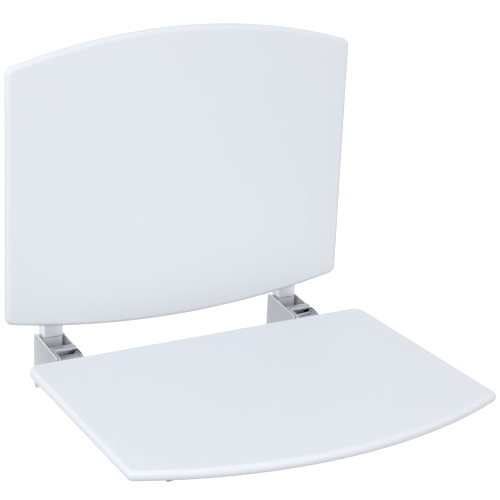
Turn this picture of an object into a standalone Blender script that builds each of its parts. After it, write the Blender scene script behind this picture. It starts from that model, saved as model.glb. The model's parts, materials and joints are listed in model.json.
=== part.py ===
"""Fold-up shower seat with a fixed backrest, hung on two wall brackets.

Metres. +X runs along the wall to the sitter's left, +Y into the wall, +Z up. y = 0 is the face of the wall,
z = 0 the top of the seat in use and x = 0 the middle. The seat, its two arms and what is screwed to them turn
together about the hinge pins of the two brackets, from level to upright in front of the backrest."""

import math

import bmesh
import bpy
from mathutils import Euler, Vector

# Gap between pieces that touch
FIT = 0.0003

# Boards
BOARD_THICKNESS = 0.012
BOARD_EDGE_RADIUS = 0.0055
BOARD_SKIN = 0.0027

# Seat board, seen from above
SEAT_REAR_WIDTH = 0.450
SEAT_FLARE = 0.0106
SEAT_FRONT_WIDTH = SEAT_REAR_WIDTH + SEAT_FLARE
SEAT_SIDE_DEPTH = 0.2793
SEAT_FRONT_BOW = 0.049
SEAT_REAR_CORNER = 0.014
SEAT_FRONT_CORNER = 0.008

# Backrest board, seen from the front
BACK_NARROWER = 0.0004
BACK_TAPER = 0.0032
BACK_LOWER_WIDTH = SEAT_REAR_WIDTH - BACK_NARROWER
BACK_UPPER_WIDTH = BACK_LOWER_WIDTH - BACK_TAPER
BACK_LOWER_APEX_Z = 0.0022
BACK_LOWER_BOW = 0.023
BACK_SIDE_HEIGHT = 0.3035
BACK_UPPER_BOW = 0.0334
BACK_CORNER = 0.010

# Posts that carry the backrest
POST_WALL_GAP = 0.0011
POST_WIDTH = 0.0240
POST_DEPTH = 0.0174
POST_WALL = 0.002
POST_EDGE_RADIUS = 0.001
POST_TOP_Z = 0.290
POST_FOOT_Z = -0.0045
SPIGOT_HEIGHT = 0.008
PLUG_LENGTH = 0.020
POST_CAP_FLANGE = 0.002
POST_CAP_PLUG = 0.010
BACK_SCREW_HEIGHTS = {"lower": 0.080, "upper": 0.250}

# Arms that carry the seat
ARM_WIDTH = 0.0237
ARM_HEIGHT = 0.0247
ARM_WALL = 0.0025
ARM_INSET = 0.0305
ARM_EDGE_RADIUS = 0.0012
ARM_SOLID_LENGTH = 0.044
BARREL_RADIUS = 0.007
BARREL_BEHIND_PIVOT = 0.0055
BARREL_ABOVE_PIVOT = 0.0065
EAR_REACH = 0.030
EAR_KNEE_REACH = 0.0165
EAR_KNEE_DROP = 0.0032
EAR_KNEE_RADIUS = 0.008
POCKET_STEP = 0.0010
GRIP_LIP = 0.0010
GRIP_HEIGHT = 0.0030
GRIP_DEPTH = 0.0060
EAR_RIM = 0.0008
POCKET_FILLET = 0.005
KNUCKLE_WIDTH = 0.0293
KNUCKLE_LENGTH = 0.042
KNUCKLE_INSET = 0.0003
KNUCKLE_EDGE_RADIUS = 0.0004
HEEL_RADIUS = 0.004
END_CAP_FLANGE = 0.003
END_CAP_PLUG = 0.012
REAR_SCREW_REACH = 0.070
FRONT_SCREW_FROM_END = 0.042

# Hinge
PIVOT_DROP = 0.0175
FOLD_GAP = 0.0037
HINGE_TO_SEAT = 0.0365
PIN_DIAMETER = 0.006
PIN_HEAD_DIAMETER = 0.009
PIN_HEAD_HEIGHT = 0.0012
PIN_TIP_DEPTH = 0.0014
BUSH_WALL = 0.0008
BUSH_LENGTH = 0.006
BUSH_FLANGE_DIAMETER = 0.0112
BUSH_FLANGE_THICKNESS = 0.001

# Wall brackets
BRACKET_INSET = 0.0641
BRACKET_SPACING = SEAT_REAR_WIDTH - 2 * BRACKET_INSET
CHEEK_THICKNESS = 0.0022
CHEEK_EDGE_RADIUS = 0.0008
CHEEK_INNER_EDGE_RADIUS = 0.0003
CHEEK_TOP_Z = -0.003
CHEEK_NOSE_Z = -0.0098
CHEEK_NOSE_REACH = 0.0162
CHEEK_NOSE_RADIUS = 0.0022
CHEEK_BELOW_PLATE = 0.007
CHEEK_BOTTOM_LENGTH = 0.007
CHEEK_HEEL_RADIUS = 0.005
CHEEK_TOP_RADIUS = 0.0022
SPINE_INSET = 0.0003
WEB_INSET = 0.0008
WEB_THICKNESS = 0.0035
BACK_WALL = 0.003
SOCKET_HEIGHT = 0.0155
SOCKET_CORNER_RADIUS = 0.0018
STOP_WALL_THICKNESS = 0.006
STOP_WALL_TOP_BELOW_PIVOT = 0.0095
DRAIN_DIAMETER = 0.004

# Stop buffer between the arm's heel and the bracket
BUFFER_THICKNESS = 0.003
BUFFER_WIDTH = 0.019
BUFFER_HEIGHT = 0.010
BUFFER_STEM_DIAMETER = 0.005
BUFFER_EDGE_RADIUS = 0.0008

# Plate on the wall, in the back of each bracket
PLATE_WIDTH = 0.026
PLATE_HEIGHT = 0.056
PLATE_THICKNESS = 0.0035
PLATE_TOP_Z = -0.010
PLATE_HOLE_DIAMETER = 0.0085
PLATE_SINK_DIAMETER = 0.0150
PLATE_SINK_DEPTH = 0.0028
PLATE_HOLE_SPACING = 0.032
GRUB_DIAMETER = 0.004
GRUB_LENGTH = 0.005
GRUB_FROM_WALL = 0.0031

# Screws and threaded inserts
SCREW_DIAMETER = 0.005
SCREW_HEAD_DIAMETER = 0.0088
SCREW_HEAD_HEIGHT = 0.0028
SCREW_ACCESS_DIAMETER = 0.0104
INSERT_DIAMETER = 0.0078
BOLT_DIAMETER = 0.006
BOLT_HEAD_DIAMETER = 0.009
BOLT_HEAD_HEIGHT = 0.004
BOLT_ENGAGEMENT = 0.014
HEX_KEY_SHARE = 0.5
HEX_DEPTH_SHARE = 0.55
HEAD_CHAMFER = 0.0005

# Facets
ARC_STEPS = 22
CORNER_STEPS = 5
EDGE_STEPS = 4
SMALL_EDGE_STEPS = 2
ROUND_SEGMENTS = 16
SMOOTH_ANGLE = math.radians(35)
BEYOND = 0.002
SAME_PLACE = 1e-6
EMPTY_SIZE = 0.02

# Places that follow from the sizes above
POST_FRONT_Y = -(POST_WALL_GAP + POST_DEPTH)
POST_MIDDLE_Y = -(POST_WALL_GAP + POST_DEPTH / 2)
BACK_REAR_Y = POST_FRONT_Y - FIT
BACK_FRONT_Y = BACK_REAR_Y - BOARD_THICKNESS
BACK_SIDE_BOTTOM_Z = BACK_LOWER_APEX_Z + BACK_LOWER_BOW
BACK_SIDE_TOP_Z = BACK_SIDE_BOTTOM_Z + BACK_SIDE_HEIGHT
PIVOT_Y = BACK_FRONT_Y - PIVOT_DROP - FOLD_GAP
PIVOT_Z = -PIVOT_DROP
SEAT_REAR_Y = PIVOT_Y - HINGE_TO_SEAT
CHEEK_BOTTOM_Z = PLATE_TOP_Z - PLATE_HEIGHT - CHEEK_BELOW_PLATE
ARM_LENGTH = HINGE_TO_SEAT + SEAT_SIDE_DEPTH - ARM_INSET
FRONT_SCREW_REACH = ARM_LENGTH - FRONT_SCREW_FROM_END
SEAT_SCREW_REACHES = {
    "rear": REAR_SCREW_REACH,
    "middle": (REAR_SCREW_REACH + FRONT_SCREW_REACH) / 2,
    "front": FRONT_SCREW_REACH,
}
ARM_TOP_Z = -BOARD_THICKNESS - FIT
ARM_BOTTOM_Z = ARM_TOP_Z - ARM_HEIGHT
POCKET_FLOOR = ARM_TOP_Z - PIVOT_Z + POCKET_STEP
POCKET_ROOF = BARREL_ABOVE_PIVOT + BARREL_RADIUS + BEYOND
BARREL_Y = PIVOT_Y + BARREL_BEHIND_PIVOT
HEEL_Y = BARREL_Y + BARREL_RADIUS
STOP_WALL_FRONT_Y = HEEL_Y + FIT + BUFFER_THICKNESS + FIT
STOP_WALL_REAR_Y = STOP_WALL_FRONT_Y + STOP_WALL_THICKNESS
STOP_WALL_TOP_Z = PIVOT_Z - STOP_WALL_TOP_BELOW_PIVOT
BUFFER_TOP_Z = STOP_WALL_TOP_Z - 2 * FIT
BRACKET_GAP = KNUCKLE_WIDTH + 2 * FIT
BRACKET_WIDTH = BRACKET_GAP + 2 * CHEEK_THICKNESS
NOSE_Y = PIVOT_Y - CHEEK_NOSE_REACH
RECESS_DEPTH = PLATE_THICKNESS + FIT
BACK_WALL_FRONT_Y = -(RECESS_DEPTH + BACK_WALL)
SOCKET_BOTTOM_Z = POST_FOOT_Z - SOCKET_HEIGHT
BOLT_Y = BACK_WALL_FRONT_Y - FIT - BOLT_HEAD_DIAMETER / 2
TUBE_BORE_WIDTH = POST_WIDTH - 2 * POST_WALL
TUBE_BORE_DEPTH = POST_DEPTH - 2 * POST_WALL
INSERT_LENGTH = BOARD_THICKNESS - BOARD_SKIN - 2 * FIT
HINGE = Vector((0, PIVOT_Y, PIVOT_Z))
SIDES = {"left": -BRACKET_SPACING / 2, "right": BRACKET_SPACING / 2}

# Turns that lay an outline or a turned piece along another axis
FLAT = (0, 0, 0)
ACROSS = (math.pi / 2, 0, math.pi / 2)
UPRIGHT = (math.pi / 2, 0, 0)
POINTING_UP = (0, 0, 0)
POINTING_FRONT = (math.pi / 2, 0, 0)
POINTING_LEFT = (0, -math.pi / 2, 0)
POINTING_RIGHT = (0, math.pi / 2, 0)


def material(name, colour, metallic, roughness):
    """A Principled material, with its colour in linear values."""
    made = bpy.data.materials.new(name)
    made.use_nodes = True
    shader = made.node_tree.nodes["Principled BSDF"]
    shader.inputs["Base Color"].default_value = (*colour, 1)
    shader.inputs["Metallic"].default_value = metallic
    shader.inputs["Roughness"].default_value = roughness
    made.diffuse_color = (*colour, 1)
    return made


def clear_scene():
    for found in list(bpy.data.objects):
        bpy.data.objects.remove(found, do_unlink=True)


def empty(name, place):
    made = bpy.data.objects.new(name, None)
    made.empty_display_size = EMPTY_SIZE
    bpy.context.scene.collection.objects.link(made)
    made.location = place
    return made


def object_from(bm, name, look, parent, place, turn):
    """Makes the object of a bmesh, smooth where its faces meet gently."""
    bmesh.ops.recalc_face_normals(bm, faces=bm.faces)
    mesh = bpy.data.meshes.new(name)
    bm.to_mesh(mesh)
    bm.free()
    mesh.shade_smooth()
    mesh.set_sharp_from_angle(angle=SMOOTH_ANGLE)
    made = bpy.data.objects.new(name, mesh)
    bpy.context.scene.collection.objects.link(made)
    if look:
        mesh.materials.append(look)
    made.parent = parent
    made.location = place
    made.rotation_euler = turn
    return made


def rounded(corners):
    """The outline of a polygon whose corners (u, v, radius) are rounded, in the order given."""
    points = []
    count = len(corners)
    for index, (u, v, radius) in enumerate(corners):
        corner = Vector((u, v))
        before = Vector(corners[index - 1][:2]) - corner
        after = Vector(corners[(index + 1) % count][:2]) - corner
        if radius <= 0:
            points.append(corner)
            continue
        half = before.angle(after) / 2
        reach = radius / math.tan(half)
        centre = corner + (before.normalized() + after.normalized()).normalized() * (radius / math.sin(half))
        start = corner + before.normalized() * reach - centre
        sweep = start.angle_signed(corner + after.normalized() * reach - centre)
        for step in range(CORNER_STEPS + 1):
            turn = -sweep * step / CORNER_STEPS
            x = start.x * math.cos(turn) - start.y * math.sin(turn)
            y = start.x * math.sin(turn) + start.y * math.cos(turn)
            points.append(centre + Vector((x, y)))
    return points


def bowed_outline(near_width, far_width, near_v, far_v, near_bow, far_bow, near_corner, far_corner):
    """The outline of a board: two straight sides, and ends that bow outwards. v runs from near to far."""
    near = bow(near_width / 2 - near_corner, near_v, near_width / 2, near_bow)
    far = bow(far_width / 2 - far_corner, far_v, far_width / 2, far_bow)
    corners = [(-near_width / 2, near_v, near_corner)]
    corners += [(u, v, 0) for u, v in near]
    corners += [(near_width / 2, near_v, near_corner), (far_width / 2, far_v, far_corner)]
    corners += [(u, v, 0) for u, v in reversed(far)]
    corners += [(-far_width / 2, far_v, far_corner)]
    return rounded(corners)


def bow(half_drawn, v, half_chord, height):
    """Points from -half_drawn to half_drawn on the arc over a chord; height is signed along v."""
    if height == 0:
        return []
    rise = abs(height)
    radius = (half_chord ** 2 + rise ** 2) / (2 * rise)
    sign = math.copysign(1, height)
    points = []
    for step in range(ARC_STEPS + 1):
        u = half_drawn * (2 * step / ARC_STEPS - 1)
        points.append((u, v + sign * (math.sqrt(radius ** 2 - u ** 2) - (radius - rise))))
    return points


def prism(
    name, outline, depth, look, parent, place, turn, near_edge=0.0, far_edge=0.0, steps=EDGE_STEPS,
    square_at=None,
):
    """An outline in the object's own XY plane, depth thick about that plane, with its two rims rounded.
    near_edge is the rim's radius at -Z and far_edge at +Z. The rims stay square along u = square_at."""
    bm = bmesh.new()
    floor = [bm.verts.new((u, v, -depth / 2)) for u, v in outline]
    face = bm.faces.new(floor)
    made = bmesh.ops.extrude_face_region(bm, geom=[face])
    lifted = [part for part in made["geom"] if isinstance(part, bmesh.types.BMVert)]
    bmesh.ops.translate(bm, verts=lifted, vec=(0, 0, depth))
    widest = max(near_edge, far_edge)
    if widest > 0:
        weight = bm.edges.layers.float.new("bevel_weight_edge")
        for edge in bm.edges:
            heights = [vert.co.z for vert in edge.verts]
            if square_at is not None and all(abs(vert.co.x - square_at) < SAME_PLACE for vert in edge.verts):
                continue
            if max(heights) < 0:
                edge[weight] = near_edge / widest
            elif min(heights) > 0:
                edge[weight] = far_edge / widest
    body = object_from(bm, name, look, parent, place, turn)
    if widest > 0:
        rim = body.modifiers.new("Rims", "BEVEL")
        rim.limit_method = "WEIGHT"
        rim.width = widest
        rim.segments = steps
        rim.use_clamp_overlap = False
        rim.harden_normals = False
    return body


def turned(name, profile, look, parent, place, turn, segments=ROUND_SEGMENTS):
    """A profile of (radius, height) points spun about the object's own Z axis. It starts and ends on the axis,
    or comes back to its first point."""
    bm = bmesh.new()
    verts = [bm.verts.new((radius, 0, height)) for radius, height in profile]
    edges = [bm.edges.new(pair) for pair in zip(verts, verts[1:])]
    bmesh.ops.spin(
        bm, geom=verts + edges, cent=(0, 0, 0), axis=(0, 0, 1), angle=math.tau, steps=segments, use_merge=True
    )
    bmesh.ops.remove_doubles(bm, verts=bm.verts, dist=SAME_PLACE)
    return object_from(bm, name, look, parent, place, turn)


def box_outline(width, height, radius=0.0):
    return rounded([
        (-width / 2, -height / 2, radius),
        (width / 2, -height / 2, radius),
        (width / 2, height / 2, radius),
        (-width / 2, height / 2, radius),
    ])


def boolean(body, tool, operation):
    """Joins the tool to the body or cuts it out, and leaves the tool out of the model."""
    step = body.modifiers.new(tool.name, "BOOLEAN")
    step.operation = operation
    step.object = tool
    step.solver = "EXACT"
    tool.hide_render = True
    tool.display_type = "WIRE"


def cut(body, tool):
    boolean(body, tool, "DIFFERENCE")


def join(body, tool):
    boolean(body, tool, "UNION")


def hole_profile(steps):
    """The profile of a stepped hole, from a list of (radius, from_height, to_height) in rising order."""
    profile = [(0, steps[0][1])]
    for radius, low, high in steps:
        profile += [(radius, low), (radius, high)]
    return profile + [(0, steps[-1][2])]


def drill(body, name, steps, parent, place, turn):
    cut(body, turned(name, hole_profile(steps), None, parent, place, turn))


def screw(name, diameter, length, head_diameter, head_height, look, parent, place, turn):
    """A socket screw that points along its own +Z, with its origin under its head."""
    head = head_diameter / 2
    profile = [
        (0, -head_height),
        (head - HEAD_CHAMFER, -head_height),
        (head, -head_height + HEAD_CHAMFER),
        (head, 0),
        (diameter / 2, 0),
        (diameter / 2, length - HEAD_CHAMFER),
        (diameter / 2 - HEAD_CHAMFER, length),
        (0, length),
    ]
    body = turned(name, profile, look, parent, place, turn)
    socket(body, name, head * HEX_KEY_SHARE, -head_height, head_height * HEX_DEPTH_SHARE, parent, place, turn)
    return body


def socket(body, name, radius, face, depth, parent, place, turn):
    """The hexagon for the key, in the face that looks along the piece's own -Z."""
    profile = hole_profile([(radius, face - BEYOND, face + depth)])
    cut(body, turned(name + "_socket", profile, None, parent, place, turn, segments=6))


def ring(name, outer, bore, length, look, parent, place, turn):
    profile = [(bore, 0), (outer, 0), (outer, length), (bore, length), (bore, 0)]
    return turned(name, profile, look, parent, place, turn)


def web_z(y, inset):
    """Height of the sloping lower front of a bracket at y, inset from the cheeks' edge."""
    run = -NOSE_Y - CHEEK_BOTTOM_LENGTH
    rise = CHEEK_NOSE_Z - CHEEK_BOTTOM_Z
    slope = rise / run
    return CHEEK_BOTTOM_Z + (-y - CHEEK_BOTTOM_LENGTH) * slope + inset * math.hypot(1, slope)


def cheek_outline():
    return rounded([
        (0, CHEEK_TOP_Z, CHEEK_TOP_RADIUS),
        (NOSE_Y, CHEEK_NOSE_Z, CHEEK_NOSE_RADIUS),
        (-CHEEK_BOTTOM_LENGTH, CHEEK_BOTTOM_Z, CHEEK_TOP_RADIUS),
        (0, CHEEK_BOTTOM_Z, CHEEK_HEEL_RADIUS),
    ])


def spine_outline():
    """What joins the two cheeks: the back wall, the sloping web and the stop wall."""
    inner = WEB_INSET + WEB_THICKNESS
    bottom = CHEEK_BOTTOM_Z + WEB_INSET
    return rounded([
        (-SPINE_INSET, POST_FOOT_Z - WEB_INSET, 0),
        (BACK_WALL_FRONT_Y, POST_FOOT_Z - WEB_INSET, 0),
        (BACK_WALL_FRONT_Y, web_z(BACK_WALL_FRONT_Y, inner), 0),
        (STOP_WALL_REAR_Y, web_z(STOP_WALL_REAR_Y, inner), 0),
        (STOP_WALL_REAR_Y, STOP_WALL_TOP_Z, POST_EDGE_RADIUS),
        (STOP_WALL_FRONT_Y, STOP_WALL_TOP_Z, POST_EDGE_RADIUS),
        (STOP_WALL_FRONT_Y, web_z(STOP_WALL_FRONT_Y, WEB_INSET), 0),
        (-CHEEK_BOTTOM_LENGTH, bottom, 0),
        (-SPINE_INSET, bottom, CHEEK_HEEL_RADIUS - WEB_INSET),
    ])


def wall_bracket(side, mount, look):
    """The casting on the wall: two cheeks, the spine between them and the block that the post stands on."""
    name = "wall_bracket_" + side
    embedded = BRACKET_GAP + CHEEK_THICKNESS
    body = prism(name, spine_outline(), embedded, look, mount, (0, 0, 0), ACROSS)
    middle = (BRACKET_GAP + CHEEK_THICKNESS) / 2
    for end, place in (("_left_cheek", -middle), ("_right_cheek", middle)):
        edges = (CHEEK_EDGE_RADIUS, CHEEK_INNER_EDGE_RADIUS)
        if place > 0:
            edges = edges[::-1]
        cheek = prism(
            name + end, cheek_outline(), CHEEK_THICKNESS, None, mount, (place, 0, 0), ACROSS,
            near_edge=edges[0], far_edge=edges[1], steps=3, square_at=0.0,
        )
        join(body, cheek)
    socket_rear_y = -(RECESS_DEPTH + FIT)
    block = prism(
        name + "_block", box_outline(POST_WIDTH, socket_rear_y - POST_FRONT_Y, SOCKET_CORNER_RADIUS),
        SOCKET_HEIGHT, None, mount,
        (0, (socket_rear_y + POST_FRONT_Y) / 2, POST_FOOT_Z - SOCKET_HEIGHT / 2), FLAT,
        near_edge=POST_EDGE_RADIUS, steps=SMALL_EDGE_STEPS,
    )
    join(body, block)
    spigot = prism(
        name + "_spigot", box_outline(TUBE_BORE_WIDTH - 2 * FIT, TUBE_BORE_DEPTH - 2 * FIT, POST_EDGE_RADIUS),
        SPIGOT_HEIGHT + SOCKET_HEIGHT / 2, None, mount,
        (0, POST_MIDDLE_Y, POST_FOOT_Z + SPIGOT_HEIGHT / 2 - SOCKET_HEIGHT / 4), FLAT,
    )
    join(body, spigot)
    recess = prism(
        name + "_recess", box_outline(PLATE_WIDTH + 2 * FIT, PLATE_HEIGHT + 2 * FIT),
        2 * RECESS_DEPTH, None, mount, (0, 0, PLATE_TOP_Z - PLATE_HEIGHT / 2), UPRIGHT,
    )
    cut(body, recess)
    bolt_hole = BOLT_DIAMETER / 2 + FIT
    drill(
        body, name + "_bolt_hole",
        [(bolt_hole, SOCKET_BOTTOM_Z - BEYOND, POST_FOOT_Z + SPIGOT_HEIGHT + BEYOND)],
        mount, (0, BOLT_Y, 0), POINTING_UP,
    )
    half = BRACKET_WIDTH / 2
    pin_hole = PIN_DIAMETER / 2 + FIT
    head_hole = PIN_HEAD_DIAMETER / 2 + FIT
    head_seat = half - PIN_HEAD_HEIGHT - FIT
    pin_end = BRACKET_GAP / 2 + PIN_TIP_DEPTH + FIT
    drill(
        body, name + "_pin_hole",
        [(head_hole, -half - BEYOND, -head_seat), (pin_hole, -head_seat, pin_end)],
        mount, (0, PIVOT_Y, PIVOT_Z), POINTING_LEFT,
    )
    drill(
        body, name + "_stem_hole",
        [(BUFFER_STEM_DIAMETER / 2 + FIT, -STOP_WALL_REAR_Y - BEYOND, -STOP_WALL_FRONT_Y + BEYOND)],
        mount, (0, 0, BUFFER_TOP_Z - BUFFER_HEIGHT / 2), POINTING_FRONT,
    )
    drill(
        body, name + "_grub_hole",
        [(GRUB_DIAMETER / 2 + FIT, CHEEK_BOTTOM_Z - BEYOND, PLATE_TOP_Z - PLATE_HEIGHT)],
        mount, (0, -GRUB_FROM_WALL, 0), POINTING_UP,
    )
    drain_y = BACK_WALL_FRONT_Y - DRAIN_DIAMETER
    drill(
        body, name + "_drain", [(DRAIN_DIAMETER / 2, CHEEK_BOTTOM_Z, SOCKET_BOTTOM_Z - SOCKET_HEIGHT)],
        mount, (0, drain_y, 0), POINTING_UP,
    )


def wall_plate(side, mount, look):
    """The steel plate that is screwed to the wall first. The bracket hangs over it and is locked from below."""
    middle_z = PLATE_TOP_Z - PLATE_HEIGHT / 2
    body = prism(
        "wall_plate_" + side, box_outline(PLATE_WIDTH, PLATE_HEIGHT, POST_EDGE_RADIUS), PLATE_THICKNESS,
        look, mount, (0, -PLATE_THICKNESS / 2, middle_z), UPRIGHT,
    )
    hole = PLATE_HOLE_DIAMETER / 2
    sink = PLATE_SINK_DIAMETER / 2
    start = PLATE_THICKNESS - PLATE_SINK_DEPTH
    beyond_sink = sink + (sink - hole) * BEYOND / PLATE_SINK_DEPTH
    front = PLATE_THICKNESS + BEYOND
    profile = [(0, -BEYOND), (hole, -BEYOND), (hole, start), (beyond_sink, front), (0, front)]
    for end, offset in (("_upper_hole", PLATE_HOLE_SPACING / 2), ("_lower_hole", -PLATE_HOLE_SPACING / 2)):
        cut(body, turned(body.name + end, profile, None, mount, (0, 0, middle_z + offset), POINTING_FRONT))


def grub_screw(side, mount, look):
    name = "bracket_grub_screw_" + side
    end = PLATE_TOP_Z - PLATE_HEIGHT - FIT
    place = (0, -GRUB_FROM_WALL, end - GRUB_LENGTH)
    radius = GRUB_DIAMETER / 2
    profile = [(0, 0), (radius, 0), (radius, GRUB_LENGTH - HEAD_CHAMFER), (radius - HEAD_CHAMFER, GRUB_LENGTH)]
    body = turned(name, profile + [(0, GRUB_LENGTH)], look, mount, place, POINTING_UP)
    socket(body, name, radius * HEX_KEY_SHARE, 0, GRUB_LENGTH / 2, mount, place, POINTING_UP)


def backrest_post(side, mount, look):
    """The upright rectangular tube that stands on the bracket's socket and carries the backrest."""
    foot = POST_FOOT_Z + FIT
    height = POST_TOP_Z - foot
    body = prism(
        "backrest_post_" + side, box_outline(POST_WIDTH, POST_DEPTH, POST_EDGE_RADIUS), height, look, mount,
        (0, POST_MIDDLE_Y, foot + height / 2), FLAT,
    )
    bore = prism(
        body.name + "_bore", box_outline(TUBE_BORE_WIDTH, TUBE_BORE_DEPTH), height + 2 * BEYOND, None, mount,
        (0, POST_MIDDLE_Y, foot + height / 2), FLAT,
    )
    cut(body, bore)
    access = SCREW_ACCESS_DIAMETER / 2
    hole = SCREW_DIAMETER / 2 + FIT
    middle = -POST_MIDDLE_Y
    for end, z in BACK_SCREW_HEIGHTS.items():
        steps = [(access, -BEYOND, middle), (hole, middle, -POST_FRONT_Y + BEYOND)]
        drill(body, body.name + "_" + end + "_hole", steps, mount, (0, 0, z), POINTING_FRONT)


def post_plug(side, mount, look):
    """The threaded block in the foot of the post that the bolt pulls down on the bracket."""
    low = POST_FOOT_Z + SPIGOT_HEIGHT + FIT
    body = prism(
        "post_plug_" + side,
        box_outline(TUBE_BORE_WIDTH - 2 * FIT, TUBE_BORE_DEPTH - 2 * FIT, POST_EDGE_RADIUS),
        PLUG_LENGTH, look, mount, (0, POST_MIDDLE_Y, low + PLUG_LENGTH / 2), FLAT,
    )
    drill(
        body, body.name + "_thread", [(BOLT_DIAMETER / 2 + FIT, low - BEYOND, low + PLUG_LENGTH + BEYOND)],
        mount, (0, BOLT_Y, 0), POINTING_UP,
    )


def post_bolt(side, mount, look):
    """The bolt that goes up through the socket into the post's plug."""
    start = SOCKET_BOTTOM_Z - FIT
    length = POST_FOOT_Z + SPIGOT_HEIGHT + BOLT_ENGAGEMENT - start
    screw(
        "post_bolt_" + side, BOLT_DIAMETER, length, BOLT_HEAD_DIAMETER, BOLT_HEAD_HEIGHT, look, mount,
        (0, BOLT_Y, start), POINTING_UP,
    )


def post_cap(side, mount, look):
    """The plastic cap that closes the top of the post."""
    low = POST_TOP_Z + FIT
    body = prism(
        "post_cap_" + side, box_outline(POST_WIDTH, POST_DEPTH, POST_EDGE_RADIUS), POST_CAP_FLANGE, look, mount,
        (0, POST_MIDDLE_Y, low + POST_CAP_FLANGE / 2), FLAT,
        far_edge=POST_EDGE_RADIUS / 2, steps=SMALL_EDGE_STEPS,
    )
    plug_height = POST_CAP_PLUG + POST_CAP_FLANGE / 2
    plug = prism(
        body.name + "_plug",
        box_outline(TUBE_BORE_WIDTH - 2 * FIT, TUBE_BORE_DEPTH - 2 * FIT, POST_EDGE_RADIUS),
        plug_height, None, mount, (0, POST_MIDDLE_Y, low + POST_CAP_FLANGE / 2 - plug_height / 2), FLAT,
    )
    join(body, plug)


def board_fixing(end, place, turn, clamped, parent, screw_look, insert_look):
    """A screw through a wall of thickness clamped, and the insert in the board that it holds.
    place is the middle of the board's own face, and turn points into the board."""
    direction = Vector((0, 0, 1))
    direction.rotate(Euler(turn))
    insert_place = Vector(place) + direction * FIT
    bore = SCREW_DIAMETER / 2 + FIT
    name_screw, name_insert = end
    ring(name_insert, INSERT_DIAMETER / 2, bore, INSERT_LENGTH, insert_look, parent, insert_place, turn)
    start = Vector(place) - direction * (clamped + 2 * FIT)
    length = clamped + 2 * FIT + INSERT_LENGTH
    screw(
        name_screw, SCREW_DIAMETER, length, SCREW_HEAD_DIAMETER, SCREW_HEAD_HEIGHT,
        screw_look, parent, start, turn,
    )


def insert_hole(board, name, parent, place, turn):
    steps = [(INSERT_DIAMETER / 2 + FIT, -BEYOND, BOARD_THICKNESS - BOARD_SKIN)]
    drill(board, name, steps, parent, place, turn)


def backrest_board(look):
    outline = bowed_outline(
        BACK_LOWER_WIDTH, BACK_UPPER_WIDTH, BACK_SIDE_BOTTOM_Z, BACK_SIDE_TOP_Z,
        -BACK_LOWER_BOW, BACK_UPPER_BOW, BACK_CORNER, BACK_CORNER,
    )
    board = prism(
        "backrest_board", outline, BOARD_THICKNESS, look, None,
        (0, BACK_REAR_Y - BOARD_THICKNESS / 2, 0), UPRIGHT,
        near_edge=BOARD_EDGE_RADIUS, far_edge=BOARD_EDGE_RADIUS,
    )
    for side, x in SIDES.items():
        for end, z in BACK_SCREW_HEIGHTS.items():
            name = "_".join((board.name, side, end, "hole"))
            insert_hole(board, name, None, (x, BACK_REAR_Y, z), POINTING_FRONT)


def seat_board(hinge, look):
    outline = bowed_outline(
        SEAT_FRONT_WIDTH, SEAT_REAR_WIDTH, SEAT_REAR_Y - SEAT_SIDE_DEPTH - PIVOT_Y, SEAT_REAR_Y - PIVOT_Y,
        -SEAT_FRONT_BOW, 0, SEAT_FRONT_CORNER, SEAT_REAR_CORNER,
    )
    board = prism(
        "seat_board", outline, BOARD_THICKNESS, look, hinge, (0, 0, -BOARD_THICKNESS / 2 - PIVOT_Z), FLAT,
        near_edge=BOARD_EDGE_RADIUS, far_edge=BOARD_EDGE_RADIUS,
    )
    for side, x in SIDES.items():
        for end, reach in SEAT_SCREW_REACHES.items():
            name = "_".join((board.name, side, end, "hole"))
            insert_hole(board, name, hinge, (x, -reach, -BOARD_THICKNESS - PIVOT_Z), POINTING_UP)


def knuckle_outline():
    """The arm's hinge end from the side, about the hinge axis."""
    top = ARM_TOP_Z - PIVOT_Z - KNUCKLE_INSET
    bottom = ARM_BOTTOM_Z - PIVOT_Z + KNUCKLE_INSET
    barrel_top = BARREL_ABOVE_PIVOT + BARREL_RADIUS
    heel = HEEL_Y - PIVOT_Y
    return rounded([
        (-KNUCKLE_LENGTH, top, 0),
        (-KNUCKLE_LENGTH, bottom, 0),
        (heel, bottom, HEEL_RADIUS),
        (heel, barrel_top, BARREL_RADIUS),
        (-EAR_KNEE_REACH, barrel_top - EAR_KNEE_DROP, EAR_KNEE_RADIUS),
        (-EAR_REACH, top, 0),
    ])


def pocket_outline():
    """The hollow in the arm's hinge end from the side: in front of the barrel, and back under its lip."""
    above = POCKET_ROOF
    floor = POCKET_FLOOR - BEYOND
    front = BARREL_BEHIND_PIVOT - BARREL_RADIUS + GRIP_LIP
    sweep = math.acos(-(BARREL_RADIUS - GRIP_LIP) / BARREL_RADIUS) - math.pi / 2
    points = [Vector((BARREL_BEHIND_PIVOT, above))]
    for step in range(CORNER_STEPS + 2):
        angle = math.pi / 2 + sweep * step / (CORNER_STEPS + 1)
        points.append(Vector((
            BARREL_BEHIND_PIVOT + BARREL_RADIUS * math.cos(angle),
            BARREL_ABOVE_PIVOT + BARREL_RADIUS * math.sin(angle),
        )))
    points.append(Vector((front, POCKET_FLOOR + GRIP_HEIGHT)))
    points.append(Vector((front + GRIP_DEPTH, POCKET_FLOOR + GRIP_HEIGHT)))
    points.append(Vector((front + GRIP_DEPTH, floor)))
    points.append(Vector((-EAR_REACH - BEYOND, floor)))
    points.append(Vector((-EAR_REACH - BEYOND, above)))
    return points


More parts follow.
